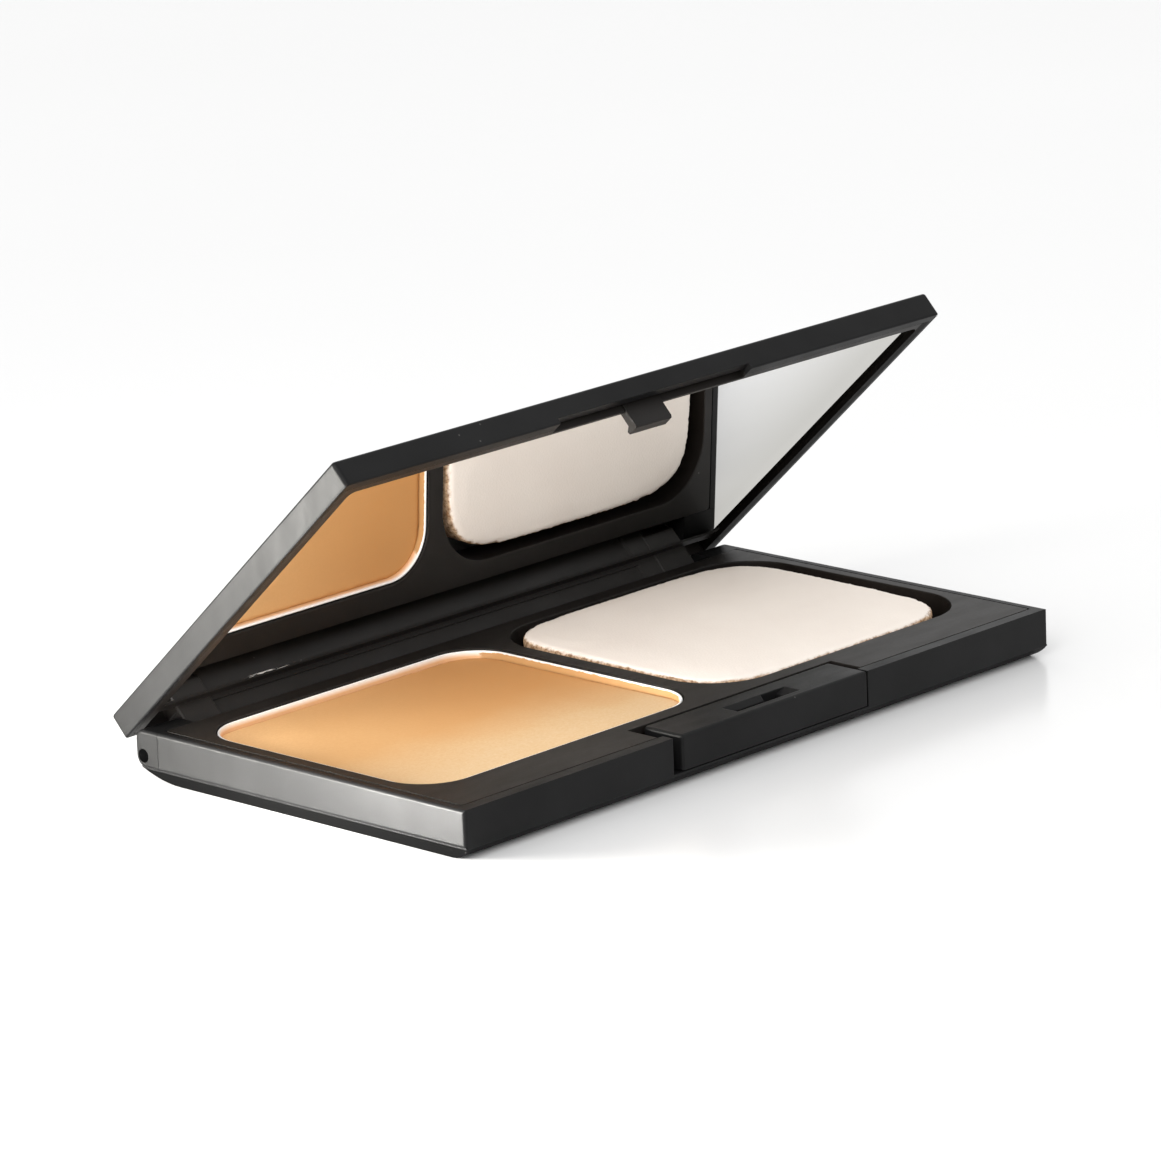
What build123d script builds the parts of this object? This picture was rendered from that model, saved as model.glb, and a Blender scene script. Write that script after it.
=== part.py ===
from build123d import *
from math import cos, radians, sin
import os

os.makedirs("parts", exist_ok=True)

# Slim powder compact: a case with a powder pan on the left and a sponge on the right, a mirrored lid on
# two rear hinge pins, and a push-button latch in the front. Millimetres. The origin is the middle of the
# flat underside, +X runs right along the length, +Y runs back to the hinge and +Z up.

# Case
length = 116.0
depth = 61.4
base_height = 7.0
belly_height = 1.74
belly_inset_top = 0.15
belly_inset_bottom = 0.75
belly_front = -27.3
belly_front_radius = 4.2
belly_rear = 23.0
belly_rear_radius = 13.0
corner_radius = 0.5
front_wall = 1.8
side_wall = 1.4
rear_wall = 1.2
floor = 0.9
trough_front = 25.7
trough_floor = 1.95
rear_wall_top = 4.6

# Hinge
hinge_y = 29.2
hinge_z = 3.46
pin_diameter = 1.5
block_bore = 1.54
knuckle_bore = 1.6
pin_hole = 1.9
pin_recess = 2.6
knuckle_radius = 1.35
block_inner = 51.1
block_front = 26.35
block_corner = 1.45
knuckle_left = (-50.9, -44.5)
knuckle_right = (43.1, 49.7)
knuckle_front = 26.4
knuckle_chamfer = 0.22
knuckle_back = 30.4
hinge_gap = 0.1

# Inner tray
groove = 0.22
panel_thickness = 1.0
panel_rear = 26.3
tray_wall = 0.7
well_edge = 0.15
well_front = -20.8
pan_well = (-54.4, -1.8)
pan_well_rear = 23.0
pan_well_radius = 7.0
sponge_well = (1.1, 54.8)
sponge_well_rear = 23.5
sponge_well_radius = 9.0
pan_well_floor = 2.1
sponge_well_floor = 1.6
button_bay = (-20.0, 20.6)
button_bay_rear = -23.4

# Filling
pan_clearance = 0.2
pan_rim = 6.8
pan_rim_round = 0.12
pan_wall = 0.3
glue_thickness = 0.1
powder_top = 5.8
sponge_gap_left = 0.2
sponge_gap_right = 2.7
sponge_gap_front = 0.3
sponge_gap_rear = 1.3
sponge_radius = 9.0
sponge_top = 7.5

# Latch
button_left = -17.3
button_right = 19.7
button_opening = (-19.1, 19.8)
button_opening_floor = 2.0
button_rear = -24.0
button_bottom = 2.15
button_front_wall = 1.2
button_top_wall = 1.3
button_travel = 0.55
slot_left = -4.9
slot_right = 6.0
slot_front = -29.3
slot_rear = -26.5
slot_open = 2.7
catch_edge = -27.15
hook_left = -4.6
hook_right = 2.4
hook_front = -28.6
hook_back = -27.4
hook_tip = -26.7
hook_reach = 2.65
hook_barb = 0.95

# Lid, in the positions that it has when it is shut
opening_at_rest = 42.7
closing_gap = 0.06
lid_thickness = 3.74
lid_corner = 0.6
lid_roof_round = 0.45
lid_rim_round = 0.25
lid_front_wall = 1.5
lid_side_wall = 0.9
lid_rear_wall = 1.0
lid_roof = 0.9
rim_notch_half = 18.7
rim_notch_height = 0.8
mirror_depth = 0.65
mirror_thickness = 1.2
mirror_front = -28.0
mirror_rear = 25.0
ledge_rear = 26.6
mirror_half = 55.6
mirror_corner = 1.2
mirror_bevel = (0.9, 0.15)
tape_thickness = 0.13
frame_plate = 0.75
skirt_front = 26.95
skirt_thickness = 0.6
skirt_drop = 4.1
skirt_step = (39.2, 39.7)
skirt_step_front = 26.6
hook_slot = (-29.15, -28.45)

lid_rim = base_height + closing_gap
lid_top = lid_rim + lid_thickness
mirror_face = lid_rim + mirror_depth
mirror_back = mirror_face + mirror_thickness
plate_under = mirror_back + tape_thickness + 0.02
plate_top = plate_under + frame_plate
tilt = radians(opening_at_rest)


def opened(y, z):
    """Where a point of the shut lid stands when the lid is open as far as it is at rest."""
    along, up = y - hinge_y, z - hinge_z
    return (hinge_y + along * cos(tilt) + up * sin(tilt), hinge_z - along * sin(tilt) + up * cos(tilt))


def lid_level(z):
    """Plane parallel to the lid, at height z of the shut lid. Its sketches use the shut lid's x and y."""
    return Plane(origin=(0, *opened(0, z)), x_dir=(1, 0, 0), z_dir=(0, sin(tilt), cos(tilt)))


def lid_section(x):
    """Plane across the lid at x. Its sketches use the shut lid's y and z."""
    return Plane(origin=(x, *opened(0, 0)), x_dir=(0, cos(tilt), -sin(tilt)), z_dir=(1, 0, 0))


def span(low, high, front, rear, mode=Mode.ADD):
    """Rectangle between x = low and high and y = front and rear, for use inside a sketch."""
    with Locations(((low + high) / 2, (front + rear) / 2)):
        Rectangle(high - low, rear - front, mode=mode)


def rounded_span(low, high, front, rear, radius):
    """The same with rounded corners."""
    with Locations(((low + high) / 2, (front + rear) / 2)):
        RectangleRounded(high - low, rear - front, radius)


# ---- side view of the upright part of the case, with its rounded rear edges
with BuildSketch(Plane.YZ) as case_side:
    with BuildLine():
        top_corner = (depth / 2 - block_corner, base_height)
        low_corner = (depth / 2 - 1.7, belly_height)
        Polyline(top_corner, (-depth / 2, base_height), (-depth / 2, belly_height), low_corner)
        RadiusArc(low_corner, (depth / 2, belly_height + 1.7), -1.7)
        Line((depth / 2, belly_height + 1.7), (depth / 2, base_height - block_corner))
        RadiusArc((depth / 2, base_height - block_corner), top_corner, -block_corner)
    make_face()

# ---- outside of the upright part of the case, which the shell and the hinge blocks share
with BuildPart() as case_outside:
    with BuildSketch(Plane.YZ.offset(-length / 2)):
        add(case_side.sketch_local)
    extrude(amount=length)
    fillet(case_outside.edges().filter_by(Axis.Z), corner_radius)

# ---- base_case: outer shell with a shallow belly, a rear trough for the hinge and a gap for the button
with BuildPart() as base_case:
    add(case_outside.part)
    with BuildSketch(Plane.YZ.offset(belly_inset_top - length / 2)):
        with BuildLine():
            front_arc = JernArc((belly_front, 0), (-1, 0), belly_front_radius, -54)
            bottom = Line((belly_front, 0), (belly_rear, 0))
            rear_arc = JernArc((belly_rear, 0), (1, 0), belly_rear_radius, 33)
            Polyline(rear_arc @ 1, ((rear_arc @ 1).X - 1, 3), ((front_arc @ 1).X + 1, 3), front_arc @ 1)
        make_face()
    extrude(amount=length - 2 * belly_inset_top)
    # The ends of the belly lean in towards the bottom.
    with BuildSketch(Plane.XZ.offset(-depth)):
        for side in (-1, 1):
            Polygon(
                (side * length, belly_height),
                (side * (length / 2 - belly_inset_top), belly_height),
                (side * (length / 2 - belly_inset_bottom), 0),
                (side * length, 0),
                align=None,
            )
    extrude(amount=2 * depth, mode=Mode.SUBTRACT)
    with BuildSketch(Plane.XY.offset(floor)):
        inside = length / 2 - side_wall
        rounded_span(-inside, inside, front_wall - depth / 2, trough_front, 0.6)
    extrude(amount=base_height, mode=Mode.SUBTRACT)
    with BuildSketch(Plane.XY.offset(trough_floor)):
        span(-inside, inside, trough_front - 1, depth / 2 - rear_wall)
    extrude(amount=base_height, mode=Mode.SUBTRACT)
    # The rear wall is lower between the hinge blocks, so that the skirt of the lid swings over it.
    with BuildSketch(Plane.XY.offset(rear_wall_top)):
        span(-block_inner, block_inner, hinge_y, depth)
    extrude(amount=base_height, mode=Mode.SUBTRACT)
    with BuildSketch(Plane.XY.offset(trough_floor)):
        for low, high in ((-length, -block_inner), (block_inner, length)):
            span(low, high, block_front - 0.05, depth)
    extrude(amount=base_height, mode=Mode.SUBTRACT)
    with BuildSketch(Plane.XY):
        span(-block_inner, knuckle_left[1] + hinge_gap, hinge_y - 0.3, depth)
        span(knuckle_right[0] - hinge_gap, block_inner, hinge_y - 0.3, depth)
    extrude(amount=base_height, mode=Mode.SUBTRACT)
    with BuildSketch(Plane.XY.offset(button_opening_floor)):
        span(*button_opening, -depth, 0)
    extrude(amount=base_height, mode=Mode.SUBTRACT)
    # Two rails on the floor that guide the button.
    with BuildSketch(Plane.XY.offset(floor)):
        for rail in (-12, 14):
            span(rail - 0.5, rail + 0.5, front_wall - depth / 2, -22.5)
    extrude(amount=button_opening_floor - floor)
    # Shallow recess for the label.
    with BuildSketch(Plane.XY):
        with Locations((0, -2)):
            RectangleRounded(34.4, 14.4, 3.2)
    extrude(amount=0.2, mode=Mode.SUBTRACT)
base_case.part.label = "base_case"
export_step(base_case.part, "parts/base_case.step")

# ---- bottom_label: blank label in its recess
with BuildPart() as bottom_label:
    with BuildSketch(Plane.XY.offset(0.05)):
        with Locations((0, -2)):
            RectangleRounded(34, 14, 3)
    extrude(amount=0.15)
bottom_label.part.label = "bottom_label"
export_step(bottom_label.part, "parts/bottom_label.step")

# ---- inner_tray: flush panel with two wells and a bay for the button
wells = (
    (pan_well, pan_well_rear, pan_well_radius, pan_well_floor),
    (sponge_well, sponge_well_rear, sponge_well_radius, sponge_well_floor),
)
with BuildPart() as inner_tray:
    panel_half = length / 2 - side_wall - groove
    with BuildSketch(Plane.XY.offset(base_height - panel_thickness)):
        rounded_span(-panel_half, panel_half, front_wall - depth / 2 + groove, panel_rear, 0.5)
    extrude(amount=panel_thickness)
    with BuildSketch(Plane.XY.offset(floor)):
        for (low, high), rear, radius, well_floor in wells:
            rounded_span(
                low - tray_wall,
                high + tray_wall,
                well_front - tray_wall,
                rear + tray_wall,
                radius + tray_wall,
            )
    extrude(amount=base_height - panel_thickness - floor)
    with BuildSketch(Plane.XY.offset(base_height - panel_thickness)):
        span(*button_bay, -depth, button_bay_rear)
    extrude(amount=panel_thickness, mode=Mode.SUBTRACT)
    for (low, high), rear, radius, well_floor in wells:
        with BuildSketch(Plane.XY.offset(well_floor)):
            rounded_span(low, high, well_front, rear, radius)
        extrude(amount=base_height, mode=Mode.SUBTRACT)
    panel_top = inner_tray.faces().filter_by(Axis.Z).sort_by(Axis.Z)[-1]
    fillet(panel_top.inner_wires().edges(), well_edge)
inner_tray.part.label = "inner_tray"
export_step(inner_tray.part, "parts/inner_tray.step")

# ---- hinge_block_left, hinge_block_right: end blocks that hold the pins, flush with the case
for side, name in ((-1, "hinge_block_left"), (1, "hinge_block_right")):
    low, high = sorted((side * block_inner, side * length / 2))
    with BuildPart() as hinge_block:
        add(case_outside.part)
        with BuildSketch(Plane.XY.offset(trough_floor)):
            span(low, high, block_front, depth)
        extrude(amount=base_height, mode=Mode.INTERSECT)
        with BuildSketch(Plane.YZ.offset(low)):
            with Locations((hinge_y, hinge_z)):
                Circle(block_bore / 2)
        extrude(amount=high - low, mode=Mode.SUBTRACT)
        with BuildSketch(Plane.YZ.offset(side * length / 2)):
            with Locations((hinge_y, hinge_z)):
                Circle(pin_hole / 2)
        extrude(amount=-side * pin_recess, mode=Mode.SUBTRACT)
    hinge_block.part.label = name
    export_step(hinge_block.part, f"parts/{name}.step")

# ---- hinge_pin_left, hinge_pin_right: steel pins through a block and a knuckle
pin_ends = {
    "hinge_pin_left": (pin_recess - length / 2, knuckle_left[1] - 0.3),
    "hinge_pin_right": (knuckle_right[0] + 0.3, length / 2 - pin_recess),
}
for name, (low, high) in pin_ends.items():
    with BuildPart() as hinge_pin:
        with BuildSketch(Plane.YZ.offset(low)):
            with Locations((hinge_y, hinge_z)):
                Circle(pin_diameter / 2)
        extrude(amount=high - low)
        chamfer(hinge_pin.edges(), 0.15)
    hinge_pin.part.label = name
    export_step(hinge_pin.part, f"parts/{name}.step")

# ---- powder_pan: thin metal pan
pan_low, pan_high = pan_well[0] + pan_clearance, pan_well[1] - pan_clearance
pan_front, pan_rear = well_front + pan_clearance, pan_well_rear - pan_clearance
pan_radius = pan_well_radius - pan_clearance
pan_under = pan_well_floor + glue_thickness
with BuildPart() as powder_pan:
    with BuildSketch(Plane.XY.offset(pan_under)):
        rounded_span(pan_low, pan_high, pan_front, pan_rear, pan_radius)
    extrude(amount=pan_rim - pan_under)
    with BuildSketch(Plane.XY.offset(pan_under + pan_wall)):
        rounded_span(
            pan_low + pan_wall,
            pan_high - pan_wall,
            pan_front + pan_wall,
            pan_rear - pan_wall,
            pan_radius - pan_wall,
        )
    extrude(amount=base_height, mode=Mode.SUBTRACT)
    fillet(powder_pan.edges().group_by(Axis.Z)[0], 0.25)
    fillet(powder_pan.edges().group_by(Axis.Z)[-1], pan_rim_round)
powder_pan.part.label = "powder_pan"
export_step(powder_pan.part, "parts/powder_pan.step")

# ---- pan_glue: dots of adhesive under the pan
with BuildPart() as pan_glue:
    with BuildSketch(Plane.XY.offset(pan_well_floor)):
        with Locations(((pan_low + pan_high) / 2, (pan_front + pan_rear) / 2)):
            with GridLocations(30, 24, 2, 2):
                Circle(3)
            Circle(3)
    extrude(amount=glue_thickness)
pan_glue.part.label = "pan_glue"
export_step(pan_glue.part, "parts/pan_glue.step")

# ---- powder_cake: pressed powder that fills the pan to a little under its rim
with BuildPart() as powder_cake:
    inset = pan_wall + 0.02
    with BuildSketch(Plane.XY.offset(pan_under + pan_wall)):
        rounded_span(
            pan_low + inset,
            pan_high - inset,
            pan_front + inset,
            pan_rear - inset,
            pan_radius - inset,
        )
    extrude(amount=powder_top - pan_under - pan_wall)
    fillet(powder_cake.edges().group_by(Axis.Z)[-1], 0.3)
powder_cake.part.label = "powder_cake"
export_step(powder_cake.part, "parts/powder_cake.step")

# ---- sponge: soft pad, a little smaller than its well and just proud of the panel
with BuildPart() as sponge:
    with BuildSketch(Plane.XY.offset(sponge_well_floor + 0.05)):
        rounded_span(
            sponge_well[0] + sponge_gap_left,
            sponge_well[1] - sponge_gap_right,
            well_front + sponge_gap_front,
            sponge_well_rear - sponge_gap_rear,
            sponge_radius,
        )
    extrude(amount=sponge_top - sponge_well_floor - 0.05)
    fillet(sponge.edges().group_by(Axis.Z)[-1], 0.8)
    fillet(sponge.edges().group_by(Axis.Z)[0], 0.8)
sponge.part.label = "sponge"
export_step(sponge.part, "parts/sponge.step")

# ---- latch_button: front bar with a hooded top, a slot for the hook and two wings that keep it in
with BuildPart() as latch_button:
    with BuildSketch(Plane.XY.offset(button_bottom)):
        span(button_left, button_right, -depth / 2, button_rear)
    extrude(amount=base_height - button_bottom)
    fillet(latch_button.edges().filter_by(Axis.Z).group_by(Axis.Y)[0], 0.35)
    fillet(latch_button.faces().sort_by(Axis.X)[0].edges().group_by(Axis.Z)[-1], 0.45)
    with BuildSketch(Plane.XY.offset(button_bottom)):
        span(button_left + 1, button_right - 1, button_front_wall - depth / 2, button_rear - 0.8)
    extrude(amount=base_height - button_top_wall - button_bottom, mode=Mode.SUBTRACT)
    with BuildSketch(Plane.XY.offset(button_bottom)):
        span(button_left - 2.6, button_left, -28.2, button_rear - 1)
        span(button_right, button_right + 1.4, -28.2, button_rear - 1)
    extrude(amount=2.4)
    # Slot for the hook. Its rear face slopes down and forward to the catch edge.
    with BuildSketch(Plane.YZ.offset(slot_left)):
        Polygon(
            (slot_front, base_height),
            (slot_rear, base_height),
            (catch_edge, base_height - 0.75),
            (catch_edge, base_height - button_top_wall),
            (slot_front, base_height - button_top_wall),
            align=None,
        )
    extrude(amount=slot_right - slot_left, mode=Mode.SUBTRACT)
    # Beside the catch the slot is open over its whole width.
    with BuildSketch(Plane.XY.offset(base_height - button_top_wall)):
        span(slot_open, slot_right, slot_front, slot_rear)
    extrude(amount=button_top_wall, mode=Mode.SUBTRACT)
    # Lead-in ramp at the right end of the slot.
    with BuildSketch(Plane.XZ.offset(-slot_front)):
        Polygon(
            (slot_right - 0.2, base_height - 0.8),
            (slot_right - 0.2, base_height),
            (slot_right + 1.6, base_height),
            align=None,
        )
    extrude(amount=slot_front - slot_rear, mode=Mode.SUBTRACT)
latch_button.part.label = "latch_button"
export_step(latch_button.part, "parts/latch_button.step")

# ---- button_spring: bowed steel leaf between the button and the tray
with BuildPart() as button_spring:
    with BuildSketch(Plane.XY.offset(3.2)):
        with BuildLine() as leaf:
            ThreePointArc((-8, -23.8), (1.2, -22.2), (10.4, -23.8))
            offset(amount=0.12, side=Side.BOTH)
        make_face()
    extrude(amount=2.2)
button_spring.part.label = "button_spring"
export_step(button_spring.part, "parts/button_spring.step")

# ---- lid_cover: outer shell of the lid, with a notch over the button
with BuildPart() as lid_cover:
    with BuildSketch(lid_level(lid_rim)):
        RectangleRounded(length, depth, lid_corner)
    extrude(amount=lid_thickness)
    roof_edges = lid_cover.faces().sort_by(lambda face: face.distance_to((0, *opened(0, 50))))[0].edges()
    fillet(roof_edges, lid_roof_round)
    rim_edges = lid_cover.faces().sort_by(lambda face: face.distance_to((0, *opened(0, -50))))[0].edges()
    fillet(rim_edges, lid_rim_round)
    with BuildSketch(lid_level(lid_rim)):
        rounded_span(
            lid_side_wall - length / 2,
            length / 2 - lid_side_wall,
            lid_front_wall - depth / 2,
            depth / 2 - lid_rear_wall,
            0.4,
        )
    extrude(amount=lid_thickness - lid_roof, mode=Mode.SUBTRACT)
    with BuildSketch(lid_level(lid_rim)):
        span(-rim_notch_half, rim_notch_half, -depth, 0)
    extrude(amount=rim_notch_height, mode=Mode.SUBTRACT)
lid_cover.part.label = "lid_cover"
export_step(lid_cover.part, "parts/lid_cover.step")

# ---- the two hinge knuckles of the lid, with chamfered front corners
frame_rear = depth / 2 - lid_rear_wall - 0.1
knuckles = []
for low, high in (knuckle_left, knuckle_right):
    with BuildPart() as hinge_knuckle:
        with BuildSketch(lid_section(low)):
            Polygon(
                (knuckle_front, mirror_face + 0.05),
                (knuckle_front, 4.6),
                (28.1, 2.75),
                (knuckle_back, hinge_z),
                (knuckle_back, lid_rim - 0.1),
                (frame_rear, lid_rim - 0.1),
                (frame_rear, mirror_face + 0.05),
                align=None,
            )
            with Locations((hinge_y, hinge_z)):
                Circle(knuckle_radius)
        extrude(amount=high - low)
        front_middle = ((low + high) / 2, *opened(knuckle_front, 5.8))
        front_face = hinge_knuckle.faces().sort_by(lambda face: face.distance_to(front_middle))[0]
        chamfer(front_face.edges().filter_by(Axis.X, reverse=True), knuckle_chamfer)
        with BuildSketch(lid_section(low)):
            with Locations((hinge_y, hinge_z)):
                Circle(knuckle_bore / 2)
        extrude(amount=high - low, mode=Mode.SUBTRACT)
    knuckles.append(hinge_knuckle.part)

# ---- lid_frame: inner frame with the mirror seat, the rear skirt and the knuckles
frame_half = length / 2 - lid_side_wall - 0.05
frame_front = lid_front_wall - depth / 2 + 0.05
with BuildPart() as lid_frame:
    with BuildSketch(lid_level(lid_rim)):
        rounded_span(-frame_half, frame_half, frame_front, frame_rear, 0.4)
    extrude(amount=plate_top - lid_rim)
    with BuildSketch(lid_level(lid_rim)):
        rounded_span(-mirror_half, mirror_half, mirror_front, mirror_rear, mirror_corner)
    extrude(amount=plate_under - lid_rim, mode=Mode.SUBTRACT)
    # Ledge between the mirror and the skirt, level with the glass.
    with BuildSketch(lid_level(lid_rim)):
        span(-mirror_half, mirror_half, mirror_rear - mirror_corner, ledge_rear)
    extrude(amount=mirror_depth, mode=Mode.SUBTRACT)
    with BuildSketch(lid_level(lid_rim)):
        span(-rim_notch_half, rim_notch_half, *hook_slot)
    extrude(amount=mirror_back - lid_rim, mode=Mode.SUBTRACT)
    with BuildSketch(lid_level(lid_rim)):
        span(hook_left - 0.05, hook_right + 0.05, hook_front - 0.15, mirror_front + 0.1)
    extrude(amount=mirror_back - lid_rim, mode=Mode.SUBTRACT)
    # The rear rail is cut back beside the knuckles, over the hinge blocks.
    with BuildSketch(lid_level(lid_rim)):
        span(-mirror_half, knuckle_left[0] - hinge_gap, ledge_rear - 0.1, frame_rear - 0.4)
        span(knuckle_right[1] + hinge_gap, mirror_half, ledge_rear - 0.1, frame_rear - 0.4)
    extrude(amount=mirror_back - lid_rim, mode=Mode.SUBTRACT)
    with BuildSketch(lid_level(lid_rim - skirt_drop)):
        span(knuckle_left[1] - 0.5, skirt_step[1], skirt_front, skirt_front + skirt_thickness)
        # Step beside the right knuckle, with a ramp up to it.
        Polygon(
            (skirt_step[0], skirt_front),
            (skirt_step[1], skirt_step_front),
            (knuckle_right[0] + 0.5, skirt_step_front),
            (knuckle_right[0] + 0.5, skirt_front + skirt_thickness),
            (skirt_step[0], skirt_front + skirt_thickness),
            align=None,
        )
    extrude(amount=skirt_drop + 0.3)
    for knuckle in knuckles:
        add(knuckle)
lid_frame.part.label = "lid_frame"
export_step(lid_frame.part, "parts/lid_frame.step")

# ---- mirror: glass with a fine bevel
with BuildPart() as mirror:
    with BuildSketch(lid_level(mirror_face)):
        rounded_span(
            0.1 - mirror_half,
            mirror_half - 0.1,
            mirror_front + 0.1,
            mirror_rear - 0.1,
            mirror_corner - 0.1,
        )
    extrude(amount=mirror_thickness)
    front_face = mirror.faces().sort_by(lambda face: face.distance_to((0, *opened(0, -50))))[0]
    chamfer(front_face.edges(), mirror_bevel[0], mirror_bevel[1], reference=front_face)
mirror.part.label = "mirror"
export_step(mirror.part, "parts/mirror.step")

# ---- mirror_tape: double-sided tape behind the mirror
with BuildPart() as mirror_tape:
    with BuildSketch(lid_level(mirror_back)):
        rounded_span(4 - mirror_half, mirror_half - 4, mirror_front + 4, mirror_rear - 4, 2)
    extrude(amount=tape_thickness)
mirror_tape.part.label = "mirror_tape"
export_step(mirror_tape.part, "parts/mirror_tape.step")

# ---- latch_hook: tongue in the front of the lid, with a barb that catches in the button
with BuildPart() as latch_hook:
    with BuildSketch(lid_section(hook_left)):
        Polygon(
            (hook_front, mirror_back - 0.05),
            (hook_front, lid_rim - hook_reach + 0.25),
            (hook_front + 0.25, lid_rim - hook_reach),
            (hook_tip - 0.1, lid_rim - hook_reach),
            (hook_tip, lid_rim - hook_reach + hook_barb / 2),
            (hook_back, lid_rim - hook_reach + hook_barb),
            (hook_back, mirror_face - 0.15),
            (mirror_front, mirror_face - 0.15),
            (mirror_front, mirror_back - 0.05),
            align=None,
        )
    extrude(amount=hook_right - hook_left)
latch_hook.part.label = "latch_hook"
export_step(latch_hook.part, "parts/latch_hook.step")
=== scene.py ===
"""Powder compact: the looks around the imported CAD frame. Metres, in the CAD's own frame."""

import math

import bpy
import bmesh
from mathutils import Matrix, Vector, noise


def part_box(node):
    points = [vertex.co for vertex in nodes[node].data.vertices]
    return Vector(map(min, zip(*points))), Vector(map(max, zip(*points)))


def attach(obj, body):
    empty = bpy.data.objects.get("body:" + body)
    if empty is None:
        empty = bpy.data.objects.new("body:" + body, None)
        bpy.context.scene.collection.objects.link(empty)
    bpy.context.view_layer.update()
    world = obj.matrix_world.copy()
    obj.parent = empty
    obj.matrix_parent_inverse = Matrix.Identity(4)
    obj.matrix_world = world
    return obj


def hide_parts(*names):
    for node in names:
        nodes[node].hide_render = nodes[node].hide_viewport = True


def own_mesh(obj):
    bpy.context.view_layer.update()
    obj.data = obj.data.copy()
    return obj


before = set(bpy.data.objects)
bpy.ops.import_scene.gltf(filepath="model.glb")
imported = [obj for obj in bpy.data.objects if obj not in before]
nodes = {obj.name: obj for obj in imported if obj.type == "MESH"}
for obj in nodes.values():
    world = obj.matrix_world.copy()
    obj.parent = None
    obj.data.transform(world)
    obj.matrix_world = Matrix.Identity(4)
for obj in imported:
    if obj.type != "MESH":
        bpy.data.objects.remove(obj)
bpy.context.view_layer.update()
MM = 0.001


# ---- camera ----------------------------------------------------------------------------------------------

AIM = Vector((0.0002, 0.0035, 0.0186))
DISTANCE = 0.842
FOCAL_LENGTH, SENSOR_WIDTH = 192.15, 36.0
AZIMUTH, ELEVATION, ROLL = math.radians(-46.026), math.radians(15.269), math.radians(-2.292)

back = Vector((
    math.sin(AZIMUTH) * math.cos(ELEVATION),
    -math.cos(AZIMUTH) * math.cos(ELEVATION),
    math.sin(ELEVATION),
))
level = (-back).cross(Vector((0, 0, 1))).normalized()
above = level.cross(-back)
right = math.cos(ROLL) * level + math.sin(ROLL) * above
up = math.cos(ROLL) * above - math.sin(ROLL) * level

lens = bpy.data.cameras.new("camera")
lens.lens, lens.sensor_width = FOCAL_LENGTH, SENSOR_WIDTH
lens.clip_start, lens.clip_end = 0.05, 20.0
camera = bpy.data.objects.new("camera", lens)
bpy.context.scene.collection.objects.link(camera)
turned = Matrix((right, up, back)).transposed().to_4x4()
camera.matrix_world = Matrix.Translation(AIM + back * DISTANCE) @ turned
bpy.context.scene.camera = camera


# ---- materials -------------------------------------------------------------------------------------------


MIDDLE = (0.3, 0.7)  # the range that most of a noise texture's values lie in
EDGE_RADIUS = 0.12 * MM
DULL_PAINTED_SHADE, PAINTED_HIGHLIGHT = (0.03, 0.25), (0.4, 45.0)  # the specular level and the share of the tone, for a dull band darkened as painted shade and for a painted highlight
DUST = (0.12, 0.115, 0.11)


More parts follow.
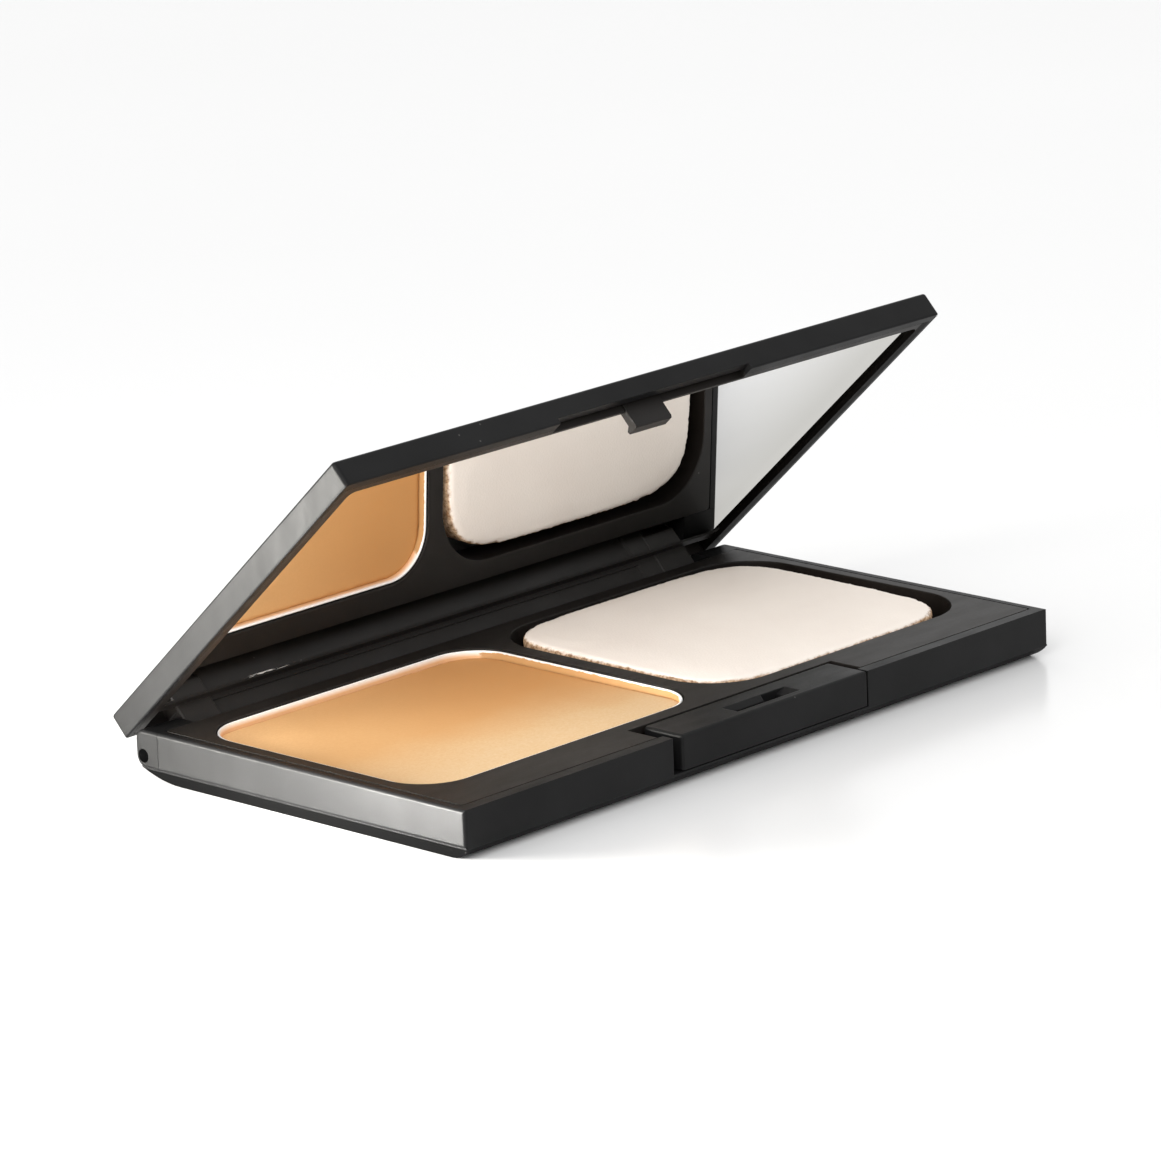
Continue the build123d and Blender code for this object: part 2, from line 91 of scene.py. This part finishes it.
class Finish:
    """A node material with a Principled shader, and short helpers that add detail to it."""

    def __init__(self, name, **constants):
        self.material = bpy.data.materials.new(name)
        self.material.use_nodes = True
        self.nodes = self.material.node_tree.nodes
        self.links = self.material.node_tree.links
        self.shader = self.nodes["Principled BSDF"]
        for socket, value in constants.items():
            self.shader.inputs[socket.replace("_", " ")].default_value = value
        coordinates = self.nodes.new("ShaderNodeTexCoord")
        self.place = coordinates.outputs["Object"]
        self.facing = coordinates.outputs["Normal"]

    def noise(self, scale, detail=3.0, roughness=0.55, stretch=None):
        """Noise value over the surface, with scale in features per metre. stretch scales each axis."""
        texture = self.nodes.new("ShaderNodeTexNoise")
        texture.inputs["Scale"].default_value = scale
        texture.inputs["Detail"].default_value = detail
        texture.inputs["Roughness"].default_value = roughness
        self.links.new(self.stretched(stretch), texture.inputs["Vector"])
        return texture.outputs["Fac"]

    def cells(self, scale):
        """Distance to the nearest of many scattered points."""
        texture = self.nodes.new("ShaderNodeTexVoronoi")
        texture.inputs["Scale"].default_value = scale
        self.links.new(self.place, texture.inputs["Vector"])
        return texture.outputs["Distance"]

    def stretched(self, stretch):
        """The place in the frame, scaled by axis."""
        if stretch is None:
            return self.place
        mapping = self.nodes.new("ShaderNodeMapping")
        mapping.inputs["Scale"].default_value = stretch
        self.links.new(self.place, mapping.inputs["Vector"])
        return mapping.outputs["Vector"]

    def along(self, axis, vector=None):
        """One component of the place in the frame, in metres, or of another vector."""
        split = self.nodes.new("ShaderNodeSeparateXYZ")
        self.links.new(vector or self.place, split.inputs["Vector"])
        return split.outputs[axis]

    def remap(self, value, low, high, to_low=0.0, to_high=1.0):
        """value from low..high to to_low..to_high, held at the ends."""
        node = self.nodes.new("ShaderNodeMapRange")
        for socket, number in zip(("From Min", "From Max", "To Min", "To Max"), (low, high, to_low, to_high)):
            node.inputs[socket].default_value = number
        self.links.new(value, node.inputs["Value"])
        return node.outputs["Result"]

    def combine(self, operation, first, second):
        """Math node on two values, either of which may be a number."""
        node = self.nodes.new("ShaderNodeMath")
        node.operation = operation
        for socket, value in zip(node.inputs, (first, second)):
            if isinstance(value, (int, float)):
                socket.default_value = value
            else:
                self.links.new(value, socket)
        return node.outputs["Value"]

    def mix(self, factor, first, second):
        """Colour between two colours, either of which may be an earlier mix."""
        node = self.nodes.new("ShaderNodeMix")
        node.data_type = "RGBA"
        self.links.new(factor, node.inputs["Factor"])
        for socket, value in zip((node.inputs[6], node.inputs[7]), (first, second)):
            if isinstance(value, tuple):
                socket.default_value = (*value, 1.0)
            else:
                self.links.new(value, socket)
        return node.outputs[2]

    def drive(self, socket, value):
        """Links a value to one of the shader's sockets."""
        self.links.new(value, self.shader.inputs[socket])

    def color(self, value):
        self.drive("Base Color", value)

    def rough(self, value, low, high):
        """Roughness from low to high, as a noise value goes over its middle range."""
        self.drive("Roughness", self.remap(value, *MIDDLE, low, high))

    def soft_edges(self, radius):
        """Normal that rounds every sharp edge by that radius."""
        node = self.nodes.new("ShaderNodeBevel")
        node.samples = 6
        node.inputs["Radius"].default_value = radius
        return node.outputs["Normal"]

    def bump(self, value, depth, over=None):
        """Bump of that depth in metres. over is an earlier normal to build on."""
        node = self.nodes.new("ShaderNodeBump")
        node.inputs["Strength"].default_value = 1.0
        node.inputs["Distance"].default_value = depth
        self.links.new(value, node.inputs["Height"])
        if over is not None:
            self.links.new(over, node.inputs["Normal"])
        self.drive("Normal", node.outputs["Normal"])


def black_plastic(name, tone, rough, specular, grain, edge=EDGE_RADIUS, turn=None):
    """Satin black moulding: spark-eroded grain, faint handling marks and a few specks of dust.

    turn is an axis and two places on it, between which the surface takes another specular level
    and another share of its tone, which paints shade or a highlight into that band.
    """
    finish = Finish(name, Specular_IOR_Level=specular)
    grain_noise = finish.noise(4200, detail=2)
    smear = finish.noise(120, detail=4, stretch=(1, 3.2, 1))
    body = finish.mix(
        finish.remap(finish.noise(60, detail=5), 0.35, 0.65),
        tuple(0.8 * c for c in tone),
        tuple(1.3 * c for c in tone),
    )
    if turn is not None:
        axis, start, end, end_specular, share = turn
        turned = finish.remap(finish.along(axis), start, end)
        # The band's tone is painted light: darker as painted shade, or lighter as a painted highlight.
        body = finish.mix(turned, body, tuple(share * c for c in tone))
        finish.drive("Specular IOR Level", finish.remap(turned, 0.0, 1.0, specular, end_specular))
    specks = finish.remap(finish.cells(420), 0.0, 0.07, 1.0, 0.0)
    kept = finish.remap(finish.noise(130, detail=1), 0.62, 0.66)
    finish.color(finish.mix(finish.combine("MULTIPLY", specks, kept), body, DUST))
    finish.rough(finish.combine("ADD", smear, finish.remap(grain_noise, *MIDDLE, -0.08, 0.08)), *rough)
    finish.bump(grain_noise, grain, finish.soft_edges(edge))
    return finish.material


def pressed_powder():
    """Pressed powder: paler at the front and left rear end as painted light, painted shade to the rear right.
    """
    finish = Finish("pressed_powder", Roughness=0.75, Specular_IOR_Level=0.15)
    low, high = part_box("powder_cake")
    size = high - low
    x, y = finish.along("X"), finish.along("Y")
    fine = finish.noise(2600, detail=4, roughness=0.7)
    broad = finish.remap(finish.noise(42, detail=3), *MIDDLE, -3 * MM, 3 * MM)
    ahead = finish.combine("ADD", y, broad)
    aside = finish.combine("ADD", x, broad)
    # Paler and lighter towards the front: painted light and sheen.
    front = finish.remap(ahead, low.y + 0.5 * size.y, low.y + 0.12 * size.y)
    # Darker towards the rear and right: painted shade under the lid.
    painted_shade_y = finish.remap(ahead, low.y + 0.2 * size.y, low.y + 0.55 * size.y)
    painted_shade_x = finish.remap(aside, low.x + 0.3 * size.x, low.x + 0.85 * size.x)
    painted_shade = finish.combine("MULTIPLY", painted_shade_y, painted_shade_x)
    # Lighter at the left rear end: painted light from the left.
    painted_light_end_y = finish.remap(ahead, low.y + 0.6 * size.y, low.y + 0.85 * size.y)
    painted_light_end_x = finish.remap(aside, low.x + 0.3 * size.x, low.x + 0.12 * size.x)
    end = finish.combine("MULTIPLY", painted_light_end_y, painted_light_end_x)
    body = finish.mix(front, (0.56, 0.325, 0.142), (0.605, 0.44, 0.262))
    body = finish.mix(painted_shade, body, (0.53, 0.255, 0.088))
    body = finish.mix(end, body, (0.67, 0.405, 0.19))
    grains = finish.remap(fine, 0.35, 0.66, 0.35, 0.0)
    finish.color(finish.mix(grains, body, (0.50, 0.27, 0.10)))
    finish.bump(fine, 0.00002)
    return finish.material


def pan_metal():
    """Bright tinned metal with a painted reflection of the powder low down, and a brown right wall by the
    divider.
    """
    finish = Finish("pan_metal")
    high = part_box("powder_pan")[1]
    scratches = finish.noise(900, detail=3, stretch=(1, 1, 8))
    wall_noise = finish.noise(1100, detail=4, roughness=0.65)
    clean = finish.mix(finish.remap(scratches, *MIDDLE), (0.92, 0.91, 0.90), (0.98, 0.98, 0.97))
    height = finish.along("Z")
    # Low down the wall takes the powder's colour: a painted reflection of the powder.
    tone = finish.mix(finish.remap(height, high.z - 0.8 * MM, high.z - 0.25 * MM), (0.82, 0.53, 0.29), clean)
    # The right wall, by the divider, is brown and not metallic.
    reach = finish.combine("ADD", finish.along("X"), finish.remap(wall_noise, *MIDDLE, -0.2 * MM, 0.2 * MM))
    depth = finish.combine("ADD", height, finish.remap(wall_noise, *MIDDLE, -0.1 * MM, 0.1 * MM))
    beside = finish.remap(reach, high.x - 1.6 * MM, high.x - 1.2 * MM)
    under = finish.remap(depth, high.z - 0.25 * MM, high.z - 0.15 * MM, 1.0, 0.0)
    brown_right_wall = finish.combine("MULTIPLY", beside, under)
    finish.color(finish.mix(brown_right_wall, tone, (0.48, 0.27, 0.11)))
    finish.drive("Metallic", finish.remap(brown_right_wall, 0.0, 1.0, 0.3, 0.0))
    finish.rough(scratches, 0.3, 0.45)
    return finish.material


def foam():
    """Fine pale foam with a smooth top and tan, torn sides, darkened as painted shade where they turn from
    up.
    """
    finish = Finish("sponge_foam", Roughness=0.95, Specular_IOR_Level=0.1)
    fuzz = finish.noise(1500, detail=4, roughness=0.7)
    pores = finish.cells(3200)
    top = finish.mix(finish.remap(finish.noise(60), *MIDDLE), (0.765, 0.692, 0.630), (0.805, 0.738, 0.675))
    side = finish.mix(finish.remap(fuzz, 0.38, 0.62), (0.27, 0.15, 0.08), (0.70, 0.50, 0.33))
    # Faces turned away from up take the tan side colour: partly the torn foam's own colour, partly painted
    # shade.
    upward = finish.combine("ADD", finish.along("Z", finish.facing), finish.remap(fuzz, *MIDDLE, -0.12, 0.12))
    finish.color(finish.mix(finish.remap(upward, 0.48, 0.80), side, top))
    finish.bump(finish.combine("ADD", pores, fuzz), 0.00002)
    return finish.material


def mirror_glass():
    """Silvered glass with haze, dust, painted shade at its right end and painted glints along part of its
    rear edge.
    """
    finish = Finish("mirror_glass")
    low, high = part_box("mirror")
    haze = finish.noise(35, detail=5, stretch=(1, 2.4, 2.4))
    dust = finish.remap(finish.cells(650), 0.0, 0.06, 1.0, 0.0)
    kept = finish.remap(finish.noise(240, detail=1), 0.60, 0.66)
    across = finish.along("X")
    clear = finish.mix(finish.remap(haze, 0.35, 0.7), (0.98, 0.98, 0.975), (0.95, 0.95, 0.945))
    # Darker towards the right end: painted shade, where the mirror shows the shaded floor.
    silver_painted_shade = finish.mix(finish.remap(across, high.x - 36 * MM, high.x - 6 * MM), clear, (0.58, 0.57, 0.535))
    dusty = finish.mix(finish.combine("MULTIPLY", dust, kept), silver_painted_shade, (0.55, 0.54, 0.52))
    # White, matt flecks along part of the rear edge: painted glints.
    edge = finish.remap(finish.along("Z"), low.z + 0.45 * MM, low.z + 0.65 * MM, 1.0, 0.0)
    glint_noise = finish.remap(finish.noise(420, detail=3, stretch=(1, 2, 2)), 0.47, 0.53)
    starts = finish.remap(across, low.x + 16 * MM, low.x + 17.5 * MM)
    ends = finish.remap(across, low.x + 25 * MM, low.x + 27 * MM, 1.0, 0.0)
    reach = finish.combine("MULTIPLY", starts, ends)
    painted_glints = finish.combine("MULTIPLY", finish.combine("MULTIPLY", edge, glint_noise), reach)
    finish.color(finish.mix(painted_glints, dusty, (0.95, 0.95, 0.93)))
    finish.drive("Metallic", finish.remap(painted_glints, 0.0, 1.0, 1.0, 0.0))
    finish.drive("Roughness", finish.remap(painted_glints, 0.0, 1.0, 0.004, 0.5))
    return finish.material


def steel():
    """Drawn steel."""
    finish = Finish("pin_steel", Metallic=1.0)
    turned = finish.noise(1500, detail=3, stretch=(9, 1, 1))
    finish.color(finish.mix(finish.remap(turned, *MIDDLE), (0.42, 0.42, 0.43), (0.62, 0.62, 0.61)))
    finish.rough(turned, 0.22, 0.42)
    return finish.material


def paper(name, first, second):
    """Fibrous matt surface between two tones."""
    finish = Finish(name, Specular_IOR_Level=0.25)
    fibres = finish.noise(1300, detail=4, stretch=(1, 2.5, 1))
    finish.color(finish.mix(finish.remap(fibres, *MIDDLE), first, second))
    finish.rough(fibres, 0.55, 0.75)
    finish.bump(fibres, 0.00001)
    return finish.material


def dress(material, *names):
    """Gives CAD nodes a material, in place of the one that they were packed with."""
    for name in names:
        slots = nodes[name].material_slots
        if not slots:
            nodes[name].data.materials.append(material)
        for one in slots:
            one.link = "OBJECT"
            one.material = material


BLACK, BROWN_BLACK = (0.007, 0.007, 0.0072), (0.009, 0.0075, 0.0065)
CASE_ROUGH, CASE_GRAIN = (0.38, 0.48), 0.008 * MM
BUTTON_ROUGH, BUTTON_EDGE = (0.34, 0.44), 0.25 * MM
TRAY_GRAIN, TRAY_SPECULAR = 0.010 * MM, 0.20
mirror_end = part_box("mirror")[1].x
button_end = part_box("latch_button")[0].x
# Below the belly's top edge the case is duller and its tone is cut to a quarter: painted shade under the
# case.
belly_painted_shade = ("Z", 1.74 * MM, 1.64 * MM, *DULL_PAINTED_SHADE)
# At the button's left end the tone is lifted to a light grey: a painted highlight on its rounded edge.
button_painted_highlight = ("X", button_end + 0.45 * MM, button_end + 0.25 * MM, *PAINTED_HIGHLIGHT)
# Beyond the mirror's right end the frame's rim is duller and its tone is cut to a quarter: painted shade.
rim_painted_shade = ("X", mirror_end - 0.2 * MM, mirror_end + 0.1 * MM, *DULL_PAINTED_SHADE)
case_plastic = black_plastic("case_plastic", BLACK, CASE_ROUGH, 0.095, CASE_GRAIN)
shell_plastic = black_plastic("shell_plastic", BLACK, CASE_ROUGH, 0.115, CASE_GRAIN, turn=belly_painted_shade)
button_plastic = black_plastic(
    "button_plastic", BLACK, BUTTON_ROUGH, 0.105, CASE_GRAIN, edge=BUTTON_EDGE, turn=button_painted_highlight
)
tray_plastic = black_plastic("tray_plastic", BROWN_BLACK, (0.44, 0.50), TRAY_SPECULAR, TRAY_GRAIN)
frame_plastic = black_plastic(
    "frame_plastic", BROWN_BLACK, (0.40, 0.52), TRAY_SPECULAR, TRAY_GRAIN, turn=rim_painted_shade
)
dress(case_plastic, "lid_cover", "hinge_block_left", "hinge_block_right")
dress(button_plastic, "latch_button")
dress(shell_plastic, "base_case")
dress(tray_plastic, "inner_tray", "latch_hook")
dress(frame_plastic, "lid_frame")
dress(pan_metal(), "powder_pan")
pin_steel = steel()
dress(pin_steel, "hinge_pin_left", "hinge_pin_right", "button_spring")
dress(mirror_glass(), "mirror")
dress(paper("tape", (0.75, 0.74, 0.70), (0.85, 0.84, 0.80)), "mirror_tape")
dress(paper("glue", (0.55, 0.53, 0.45), (0.65, 0.63, 0.55)), "pan_glue")
dress(paper("label", (0.60, 0.60, 0.59), (0.68, 0.68, 0.67)), "bottom_label")


# ---- meshes ----------------------------------------------------------------------------------------------


def outline(low, high, inset, power, count):
    """Points round a box's plan with softly bowed sides: a superellipse of that power, inset inwards."""
    centre, half = (low + high) / 2, (high - low) / 2
    points = []
    for step in range(count):
        angle = 2 * math.pi * step / count
        reach_x = math.copysign(abs(math.cos(angle)) ** (2 / power), math.cos(angle))
        reach_y = math.copysign(abs(math.sin(angle)) ** (2 / power), math.sin(angle))
        points.append((centre.x + (half.x - inset) * reach_x, centre.y + (half.y - inset) * reach_y))
    return points


def rounded(low, high, radius, inset, corner_steps, side_steps):
    """Points round a box's plan with round corners, inset inwards, the same number for any inset."""
    centre, half = (low + high) / 2, (high - low) / 2
    reach = max(radius - inset, 0.2 * MM)
    corners = [
        (centre.x + sign_x * (half.x - radius), centre.y + sign_y * (half.y - radius))
        for sign_x, sign_y in ((1, 1), (-1, 1), (-1, -1), (1, -1))
    ]

    def on_arc(corner, angle):
        return (corner[0] + reach * math.cos(angle), corner[1] + reach * math.sin(angle))

    points = []
    for quarter, corner in enumerate(corners):
        for step in range(corner_steps + 1):
            points.append(on_arc(corner, math.pi / 2 * (quarter + step / corner_steps)))
        start = points[-1]
        goal = on_arc(corners[(quarter + 1) % 4], math.pi / 2 * (quarter + 1))
        for step in range(1, side_steps):
            share = step / side_steps
            points.append((start[0] + (goal[0] - start[0]) * share, start[1] + (goal[1] - start[1]) * share))
    return points


def from_rings(name, rings, cap_low, cap_high):
    """Closed mesh through rings of points, from the lowest to the highest, with a point at each end."""
    mesh = bmesh.new()
    rows = [[mesh.verts.new(point) for point in ring] for ring in rings]
    count = len(rows[0])
    for below, over in zip(rows, rows[1:]):
        for step in range(count):
            ahead = (step + 1) % count
            mesh.faces.new((below[step], below[ahead], over[ahead], over[step]))
    first, last = mesh.verts.new(cap_low), mesh.verts.new(cap_high)
    for step in range(count):
        ahead = (step + 1) % count
        mesh.faces.new((rows[0][ahead], rows[0][step], first))
        mesh.faces.new((rows[-1][step], rows[-1][ahead], last))
    data = bpy.data.meshes.new(name)
    mesh.to_mesh(data)
    mesh.free()
    data.shade_smooth()
    made = bpy.data.objects.new(name, data)
    bpy.context.scene.collection.objects.link(made)
    return made


def evaluated(made):
    """Copy of a piece's mesh with its modifiers applied."""
    graph = bpy.context.evaluated_depsgraph_get()
    return bpy.data.meshes.new_from_object(made.evaluated_get(graph))


def settle(made, data):
    """Gives a piece that mesh in place of its own, and drops its modifiers."""
    made.modifiers.clear()
    made.data = data
    made.data.shade_smooth()


# ---- pressed powder --------------------------------------------------------------------------------------


def make_powder():
    """Cake with a shallow dish in its top and a crumbly rim."""
    low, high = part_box("powder_cake")
    radius, dish, rim_width = 5.8 * MM, 0.35 * MM, 0.75
    corner_steps, side_steps, centre_steps = 10, 56, 16
    centre, half = (low + high) / 2, (high - low) / 2

    def top(x, y):
        spread = 1 - (1 - ((x - centre.x) / half.x) ** 2) * (1 - ((y - centre.y) / half.y) ** 2)
        wave = noise.noise(Vector((x, y, 0)) * 90) * 0.04 * MM
        return high.z - dish * (1 - spread) + wave

    rings = []
    for z in (low.z, (low.z + high.z) / 2):
        rings.append([(x, y, z) for x, y in rounded(low, high, radius, 0, corner_steps, side_steps)])
    for inset in (0.0, 0.05, 0.12, 0.2, 0.3, 0.42, 0.56, 0.75, 1.0, 1.4, 2.0, 2.8, 3.8, 5.0):
        ring = []
        edge = max(0.0, 1 - inset / rim_width)
        for x, y in rounded(low, high, radius, inset * MM, corner_steps, side_steps):
            crumb = noise.fractal(Vector((x, y, 3 * MM)) * 1400, 0.8, 2.1, 3)
            drop = (0.28 * edge * edge + 0.10 * edge * crumb + 0.012 * crumb) * MM
            ring.append((x, y, top(x, y) - drop))
        rings.append(ring)
    inner = rings[-1]
    for step in range(1, centre_steps):
        share = 1 - step / centre_steps
        plan = [(centre.x + (x - centre.x) * share, centre.y + (y - centre.y) * share) for x, y, _ in inner]
        rings.append([(x, y, top(x, y)) for x, y in plan])
    lowest = (centre.x, centre.y, low.z)
    made = from_rings("pressed_powder", rings, lowest, (centre.x, centre.y, top(centre.x, centre.y)))
    made.data.materials.append(pressed_powder())
    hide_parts("powder_cake")
    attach(made, "base")


# ---- sponge ----------------------------------------------------------------------------------------------


def simulate(made, frames, pressure):
    """Inflates a piece as cloth with no gravity and returns where its vertices end."""
    cloth = made.modifiers.new("cloth", "CLOTH")
    cloth.settings.use_pressure = True
    cloth.settings.uniform_pressure_force = pressure
    cloth.settings.effector_weights.gravity = 0
    cloth.settings.quality = 6
    cloth.point_cache.frame_start, cloth.point_cache.frame_end = 1, frames
    for number in range(1, frames + 1):
        bpy.context.scene.frame_set(number)
    data = evaluated(made)
    places = [vertex.co.copy() for vertex in data.vertices]
    bpy.data.meshes.remove(data)
    made.modifiers.remove(cloth)
    bpy.context.scene.frame_set(1)
    return places


def make_sponge():
    """Bowed pad with a round edge, inflated as cloth, whose sides are torn."""
    low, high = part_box("sponge")
    shrink, edge, lean = 0.12 * MM, 0.4 * MM, 0.1 * MM
    rear_top, front_top, highest = 7.66 * MM, 7.06 * MM, 7.62 * MM
    power, around, arc_steps = 5.4, 160, 5
    grown = 20.0  # the cloth solver works on the pad at this many times its size
    centre = (low + high) / 2
    start_low = low + Vector((0, 0, 1)) * shrink
    start_high = high - Vector((0, 0, 1)) * shrink
    rings = []
    for z_from, z_sign in ((start_low.z, -1), (start_high.z, 1)):
        arcs = [step / arc_steps * math.pi / 2 for step in range(arc_steps + 1)]
        for angle in (reversed(arcs) if z_sign < 0 else arcs):
            inset = shrink + edge * (1 - math.cos(angle))
            z = z_from - z_sign * edge * (1 - math.sin(angle))
            rings.append([(x, y, z) for x, y in outline(low, high, inset, power, around)])
    ends = ((centre.x, centre.y, start_low.z), (centre.x, centre.y, start_high.z))
    made = from_rings("sponge_pad", rings, *ends)
    # The top slopes down to the front and the left side leans inwards.
    for vertex in made.data.vertices:
        place = vertex.co
        ahead = (place.y - low.y) / (high.y - low.y)
        aside = (place.x - low.x) / (high.x - low.x)
        level = (place.z - low.z) / (high.z - low.z)
        top = front_top + (rear_top - front_top) * ahead
        place.z = low.z + (place.z - low.z) * (top - low.z) / (high.z - low.z)
        place.x += lean * level * (1 - aside)
        vertex.co = (place - centre) * grown
    remesh = made.modifiers.new("remesh", "REMESH")
    remesh.mode = "VOXEL"
    remesh.voxel_size = 0.6 * MM * grown
    settle(made, evaluated(made))
    cap = 0.3 * MM * grown
    places = simulate(made, 20, 4.0)
    for vertex, place in zip(made.data.vertices, places):
        move = place - vertex.co
        if move.length > cap:
            move *= cap / move.length
        vertex.co += move
    finer = made.modifiers.new("finer", "SUBSURF")
    finer.levels = 1
    settle(made, evaluated(made))
    for vertex in made.data.vertices:
        vertex.co = vertex.co / grown + centre
    made.data.update()
    normals = [vertex.normal.copy() for vertex in made.data.vertices]
    for vertex, normal in zip(made.data.vertices, normals):
        side = 1 - min(1.0, abs(normal.z)) ** 6
        torn = noise.fractal(vertex.co * 1500, 0.8, 2.2, 3)
        soft = noise.noise(vertex.co * 120)
        vertex.co += normal * (0.13 * side * torn + 0.03 * soft) * MM
        vertex.co.z = min(vertex.co.z, highest)
    made.data.materials.append(foam())
    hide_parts("sponge")
    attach(made, "base")


# ---- button spring ---------------------------------------------------------------------------------------


def make_spring():
    """The steel leaf behind the button, copied into its own mesh and carried with the base; the real leaf
    flattens against the tray as the button goes in.
    """
    solid = nodes["button_spring"]
    made = bpy.data.objects.new("spring_leaf", solid.data.copy())
    bpy.context.scene.collection.objects.link(made)
    made.matrix_world = solid.matrix_world.copy()
    made.data.materials.clear()
    made.data.materials.append(pin_steel)
    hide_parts("button_spring")
    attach(made, "base")
    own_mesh(made)


make_powder()
make_sponge()
make_spring()


# ---- floor, light ----------------------------------------------------------------------------------------


def area_light(name, place, aim, width, height, power, tint):
    """Rectangular lamp at a place, turned to its aim."""
    data = bpy.data.lights.new(name, "AREA")
    data.shape = "RECTANGLE"
    data.size, data.size_y = width, height
    data.energy = power
    data.color = tint
    light = bpy.data.objects.new(name, data)
    bpy.context.scene.collection.objects.link(light)
    light.location = place
    light.rotation_mode = "QUATERNION"
    light.rotation_quaternion = (Vector(aim) - Vector(place)).to_track_quat("-Z", "Y")


def make_floor():
    """Wide pale table, faintly glossy."""
    mesh = bmesh.new()
    bmesh.ops.create_grid(mesh, x_segments=24, y_segments=24, size=3.0)
    data = bpy.data.meshes.new("floor")
    mesh.to_mesh(data)
    mesh.free()
    made = bpy.data.objects.new("floor", data)
    bpy.context.scene.collection.objects.link(made)
    finish = Finish("floor", Roughness=0.22, Specular_IOR_Level=0.5)
    clouds = finish.noise(6, detail=2)
    finish.color(finish.mix(clouds, (0.75, 0.75, 0.75), (0.78, 0.78, 0.78)))
    data.materials.append(finish.material)


make_floor()

world = bpy.data.worlds.new("studio")
bpy.context.scene.world = world
world.use_nodes = True
backdrop = world.node_tree.nodes["Background"]
backdrop.inputs["Color"].default_value = (1, 1, 1, 1)
backdrop.inputs["Strength"].default_value = 1.08

area_light("key", (-0.64, -0.38, 0.45), (0, 0, 0), 0.5, 0.5, 4.2, (1, 1, 1))
area_light("side", (-0.150, 0.088, 0.022), (-0.058, 0.0, 0.012), 0.05, 0.03, 0.6, (1, 0.98, 0.92))
area_light("low", (-0.094, 0.004, 0.006), (-0.058, -0.030, 0.004), 0.02, 0.008, 0.15, (1, 0.985, 0.95))

bpy.context.scene.view_settings.view_transform = "Standard"
